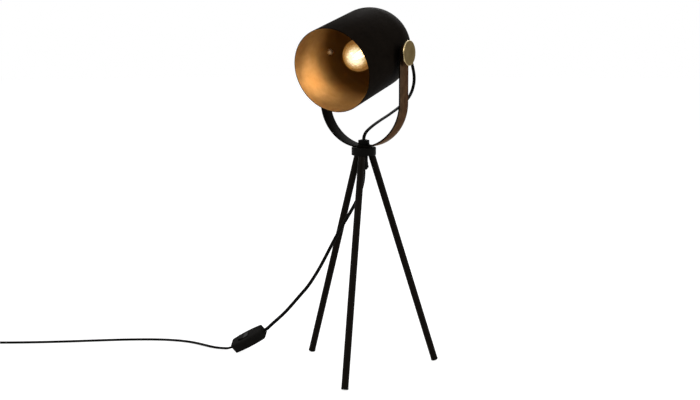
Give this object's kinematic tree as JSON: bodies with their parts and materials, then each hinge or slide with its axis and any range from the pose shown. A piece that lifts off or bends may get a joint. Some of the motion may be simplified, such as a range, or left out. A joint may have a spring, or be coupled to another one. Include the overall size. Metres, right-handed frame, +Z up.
{
  "type": "tripod table lamp",
  "caption": "Tripod table lamp: a bucket-shaped metal shade with a globe bulb tilts in a strap yoke that turns on a hub, with an in-line switch on its flex.",
  "frame": {"origin": "point of the table under the axis of the hub", "axes": "+Z up along the hub; the shade's mouth points towards -Y and 30 degrees towards -X, and the flex leaves towards -X"},
  "size_m": [0.8073, 0.2482, 0.5204],
  "materials": {
    "black_paint": "matte",
    "bronze_strap": "satin",
    "antique_brass": "satin",
    "black_plastic": "matte",
    "flex_sheath": "satin",
    "steel": "satin",
    "nickel": "satin",
    "brass": "satin",
    "lamp_glass": "clear",
    "stem_glass": "clear",
    "filament": "glowing"
  },
  "bodies": {
    "root": {"hub": "black_paint", "leg_right": "black_paint", "leg_left": "black_paint", "leg_front": "black_paint", "leg_inserts": "steel", "leg_studs": "steel", "foot_caps": "black_plastic", "stem": "steel", "slip_washer": "black_plastic", "top_washer": "black_paint", "top_nut": "black_paint", "stem_bush": "black_plastic", "cord_grip": "black_plastic", "grip_screw": "black_plastic", "stem_cord": "flex_sheath", "flex_upper": "flex_sheath", "switch_base": "black_plastic", "switch_cover": "black_plastic", "rocker_pin": "steel", "switch_screws": "steel", "switch_terminals": "brass", "switch_cuffs": "black_plastic", "flex_lower": "flex_sheath", "flex_coil": "flex_sheath", "coil_tie": "black_plastic", "flex_end": "flex_sheath", "plug_body": "black_plastic", "plug_relief": "black_plastic", "plug_pins": "brass", "plug_sleeves": "black_plastic"},
    "yoke": {"yoke": "bronze_strap", "knob_washers": "steel", "head_cord": "flex_sheath"},
    "head": {"shade": "black_paint", "pivot_spacers": "black_plastic", "pivot_studs": "steel", "pivot_nuts": "steel", "shade_washer": "steel", "shade_grip": "black_plastic", "holder_nipple": "brass", "holder_cap": "black_plastic", "lamp_holder": "black_plastic", "holder_contact": "brass", "holder_terminals": "brass", "holder_lead": "flex_sheath"},
    "bulb": {"bulb_glass": "lamp_glass", "bulb_cap": "nickel", "bulb_insulator": "black_plastic", "bulb_contact": "nickel", "bulb_mount": "stem_glass", "bulb_filaments": "filament"},
    "knob_right": {"knob_right": "antique_brass"},
    "knob_left": {"knob_left": "antique_brass"},
    "rocker": {"switch_rocker": "black_plastic"}
  },
  "joints": [
    {"name": "yoke_swivel", "type": "hinge", "parent": "root", "child": "yoke", "pos_m": [0, 0, 0.3246], "axis": [0, 0, 1], "range_deg": [-170, 170]},
    {"name": "head_tilt", "type": "hinge", "parent": "yoke", "child": "head", "pos_m": [0, 0, 0.45755], "axis": [0.866, -0.5, 0], "range_deg": [-75, 75], "deforming": ["head_cord"]},
    {"name": "knob_right_turn", "type": "hinge", "parent": "head", "child": "knob_right", "pos_m": [0, 0, 0.45755], "axis": [0.866, -0.5, 0], "range_deg": [0, 360]},
    {"name": "knob_left_turn", "type": "hinge", "parent": "head", "child": "knob_left", "pos_m": [0, 0, 0.45755], "axis": [-0.866, 0.5, 0], "range_deg": [0, 360]},
    {"name": "bulb_turn", "type": "hinge", "parent": "head", "child": "bulb", "pos_m": [0, 0, 0.45755], "axis": [-0.4839, -0.8381, -0.2521], "range_deg": [0, 360]},
    {"name": "switch_rock", "type": "hinge", "parent": "root", "child": "rocker", "pos_m": [-0.18165, 0.06504, 0.02451], "axis": [0.0962, 0.9144, 0.3932], "range_deg": [-16, 0]}
  ]
}
